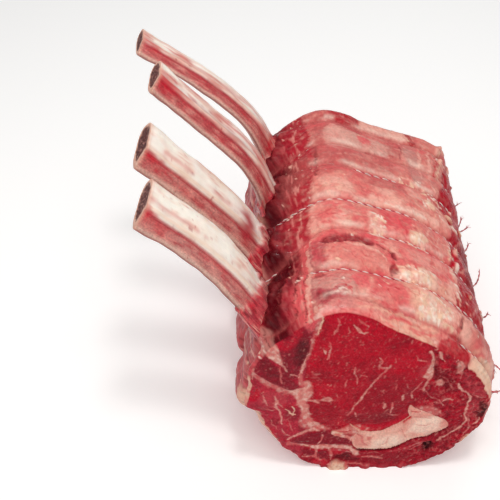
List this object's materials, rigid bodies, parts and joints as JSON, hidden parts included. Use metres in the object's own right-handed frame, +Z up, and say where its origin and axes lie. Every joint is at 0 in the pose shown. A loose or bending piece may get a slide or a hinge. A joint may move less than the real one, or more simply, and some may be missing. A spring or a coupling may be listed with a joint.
{
  "type": "beef rib roast",
  "caption": "Raw bone-in beef rib roast, trimmed, with long curved frenched rib bones leaning from one side, tied round with striped butcher's twine.",
  "frame": {"origin": "middle of the underside of the whole object's box, on the board that the roast rests on", "axes": "+Y from the front cut face to the back face, +X from the rib side to the rounded side, +Z up"},
  "size_m": [0.3034, 0.2682, 0.2712],
  "materials": {
    "lean": "moist raw lean meat",
    "dark_lean": "moist dark lean meat",
    "fat": "firm cream fat, slightly greasy",
    "bone": "scraped raw bone, damp",
    "twine": "two-ply striped cotton twine"
  },
  "bodies": {
    "root": {"eye_muscle": "lean", "cap_muscle": "lean", "rib_side_muscle": "dark_lean", "seam_fat": "fat", "rib_1": "bone", "rib_2": "bone", "rib_3": "bone", "rib_4": "bone", "tie_1": "twine", "tie_2": "twine", "tie_3": "twine", "tie_4": "twine", "tie_5": "twine", "tie_6": "twine", "tie_7": "twine"}
  },
  "joints": []
}
